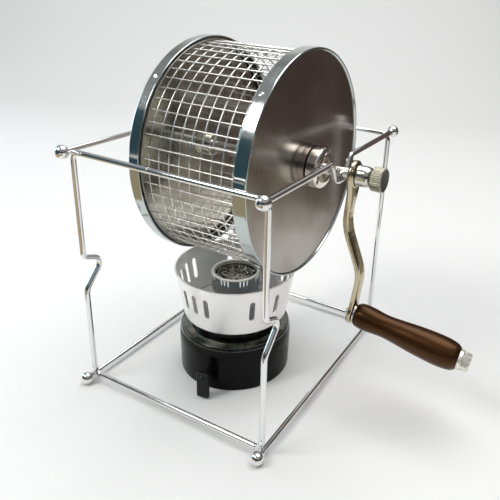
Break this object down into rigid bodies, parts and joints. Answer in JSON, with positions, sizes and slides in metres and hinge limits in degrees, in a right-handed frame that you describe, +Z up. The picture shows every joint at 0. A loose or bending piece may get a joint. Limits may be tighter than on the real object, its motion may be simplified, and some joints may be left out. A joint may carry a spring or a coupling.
{
  "type": "stovetop coffee bean roaster",
  "caption": "Hand cranked coffee roaster: a wire mesh drum with steel end caps turns in a chromed wire frame above a gas burner, by a curved crank with a wooden grip.",
  "frame": {"origin": "on the table under the middle of the wire frame, where the burner's flat underside rests", "axes": "+Z up; +X along the drum's axis towards the crank; -Y towards the loop with the kinked legs"},
  "size_m": [0.2272, 0.1758, 0.216],
  "materials": {
    "wire_chrome": "bright chromed steel wire",
    "ball_chrome": "bright chromed balls",
    "cap_steel": "brushed stainless faces with polished rims",
    "band_steel": "rolled stainless strip",
    "mesh_steel": "bright drawn stainless wire",
    "shaft_steel": "ground bright rod",
    "hub_chrome": "polished plated steel",
    "crank_nickel": "warm nickel plating on cast iron",
    "knurl_steel": "knurled plated steel with a dull end",
    "screw_black": "black oxide",
    "walnut": "satin dark walnut",
    "fastener_nickel": "nickel plated",
    "base_black": "glossy black moulding",
    "lever_black": "satin black lever",
    "zinc_steel": "zinc plated steel",
    "brass": "turned brass",
    "shield_aluminium": "satin spun aluminium",
    "head_chrome": "bright chromed burner head",
    "flame_metal": "dark heat stained metal"
  },
  "bodies": {
    "stand": {"front_loop": "wire_chrome", "back_loop": "wire_chrome", "top_wire_right": "wire_chrome", "top_wire_left": "wire_chrome", "bottom_wire_right": "wire_chrome", "bottom_wire_left": "wire_chrome", "top_balls": "ball_chrome", "foot_balls": "ball_chrome", "burner_base": "base_black", "base_cover": "base_black", "gas_tank": "zinc_steel", "cover_screws": "screw_black", "refill_valve": "brass", "valve_body": "brass", "gas_tube": "brass", "gas_jet": "brass", "windshield": "shield_aluminium", "shield_screws": "screw_black", "mixing_tube": "zinc_steel", "burner_head": "head_chrome", "flame_disc": "flame_metal"},
    "drum": {"mesh_rods": "mesh_steel", "mesh_rings": "mesh_steel", "band_left": "band_steel", "band_right": "band_steel", "right_cap": "cap_steel", "cap_rivets": "fastener_nickel", "drive_hub": "hub_chrome", "hub_set_screw": "screw_black", "shaft": "shaft_steel", "crank_arm": "crank_nickel", "arm_set_screw": "screw_black", "grip_pin": "fastener_nickel", "arm_washer": "fastener_nickel", "end_washer": "fastener_nickel", "cap_nut": "fastener_nickel"},
    "lid": {"lid": "cap_steel", "lid_bush": "hub_chrome"},
    "thumb_nut": {"thumb_nut": "knurl_steel"},
    "grip": {"grip": "walnut"},
    "valve_lever": {"valve_lever": "lever_black", "lever_screw": "screw_black"}
  },
  "joints": [
    {"name": "drum_spin", "type": "hinge", "parent": "stand", "child": "drum", "pos_m": [0, 0, 0.148], "axis": [1, 0, 0], "continuous": true},
    {"name": "lid_pull", "type": "slide", "parent": "drum", "child": "lid", "axis": [-1, 0, 0], "range_m": [0, 0.025]},
    {"name": "thumb_nut_turn", "type": "hinge", "parent": "drum", "child": "thumb_nut", "pos_m": [0.0888, 0, 0.148], "axis": [1, 0, 0], "continuous": true},
    {"name": "grip_spin", "type": "hinge", "parent": "drum", "child": "grip", "pos_m": [0.07992, 0, 0.0587], "axis": [0.9925, 0, -0.1219], "continuous": true},
    {"name": "valve_turn", "type": "hinge", "parent": "stand", "child": "valve_lever", "pos_m": [0.00604, -0.05445, 0.015], "axis": [0.1564, -0.9877, 0], "range_deg": [0, 90]}
  ]
}
